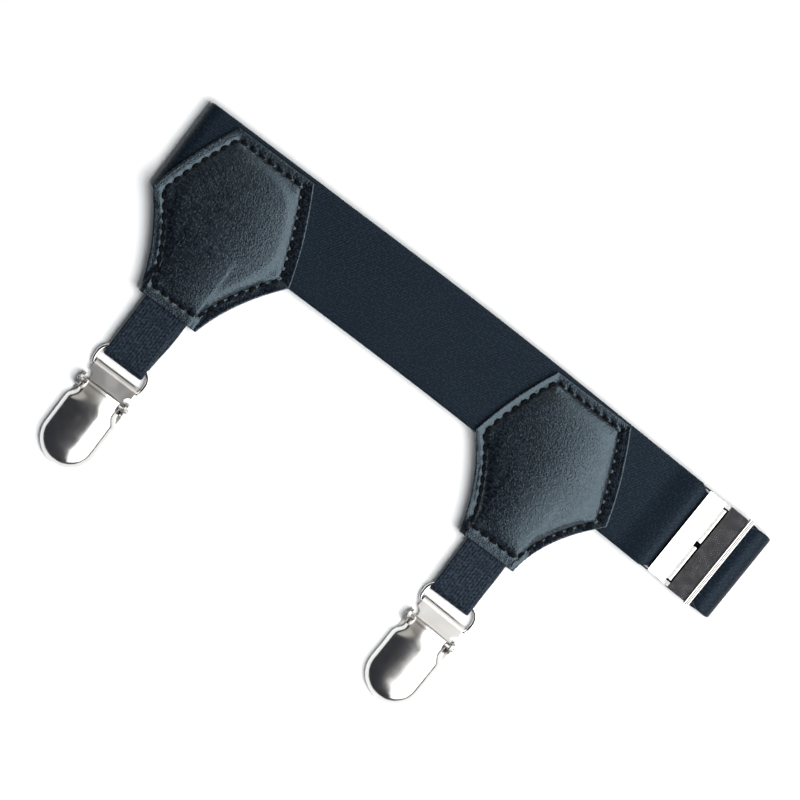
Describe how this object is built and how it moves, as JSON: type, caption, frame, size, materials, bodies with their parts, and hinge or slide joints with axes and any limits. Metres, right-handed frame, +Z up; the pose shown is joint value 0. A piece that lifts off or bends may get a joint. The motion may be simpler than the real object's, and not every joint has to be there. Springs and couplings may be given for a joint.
{
  "type": "sock suspender",
  "caption": "Sock suspender: closed elastic calf band with a hook and slide buckle, stitched leather patches, short straps on wire rings and lever clips.",
  "frame": {"origin": "middle of the bounding box of the garter lying flat, on the surface that it lies on", "axes": "+X along the band towards the buckle, +Y across the band away from the clips, +Z up"},
  "size_m": [0.1778, 0.0962, 0.0105],
  "materials": {
    "elastic": "fine ribbed woven elastic, near black navy",
    "strap_elastic": "coarser woven elastic tape, black with grey flecks",
    "leather": "black pebbled leather with a soft sheen",
    "nickel": "bright nickel plate with fine scratches"
  },
  "bodies": {
    "band": {"elastic_band": "elastic", "buckle_hook": "nickel", "buckle_slide": "nickel", "patch_front_left": "leather", "patch_back_left": "leather", "clip_strap_left": "strap_elastic", "strap_ring_left": "nickel", "clip_base_left": "nickel", "clip_pin_left": "nickel", "patch_front_right": "leather", "patch_back_right": "leather", "clip_strap_right": "strap_elastic", "strap_ring_right": "nickel", "clip_base_right": "nickel", "clip_pin_right": "nickel"},
    "cover_left": {"clip_cover_left": "nickel"},
    "cover_right": {"clip_cover_right": "nickel"}
  },
  "joints": [
    {"name": "clip_left_hinge", "type": "hinge", "parent": "band", "child": "cover_left", "pos_m": [-0.06675, -0.02698, 0.0031], "axis": [-1, 0, 0], "range_deg": [0, 70]},
    {"name": "clip_right_hinge", "type": "hinge", "parent": "band", "child": "cover_right", "pos_m": [0.03457, -0.02522, 0.0031], "axis": [-0.9994, 0.035, 0], "range_deg": [0, 70]}
  ]
}
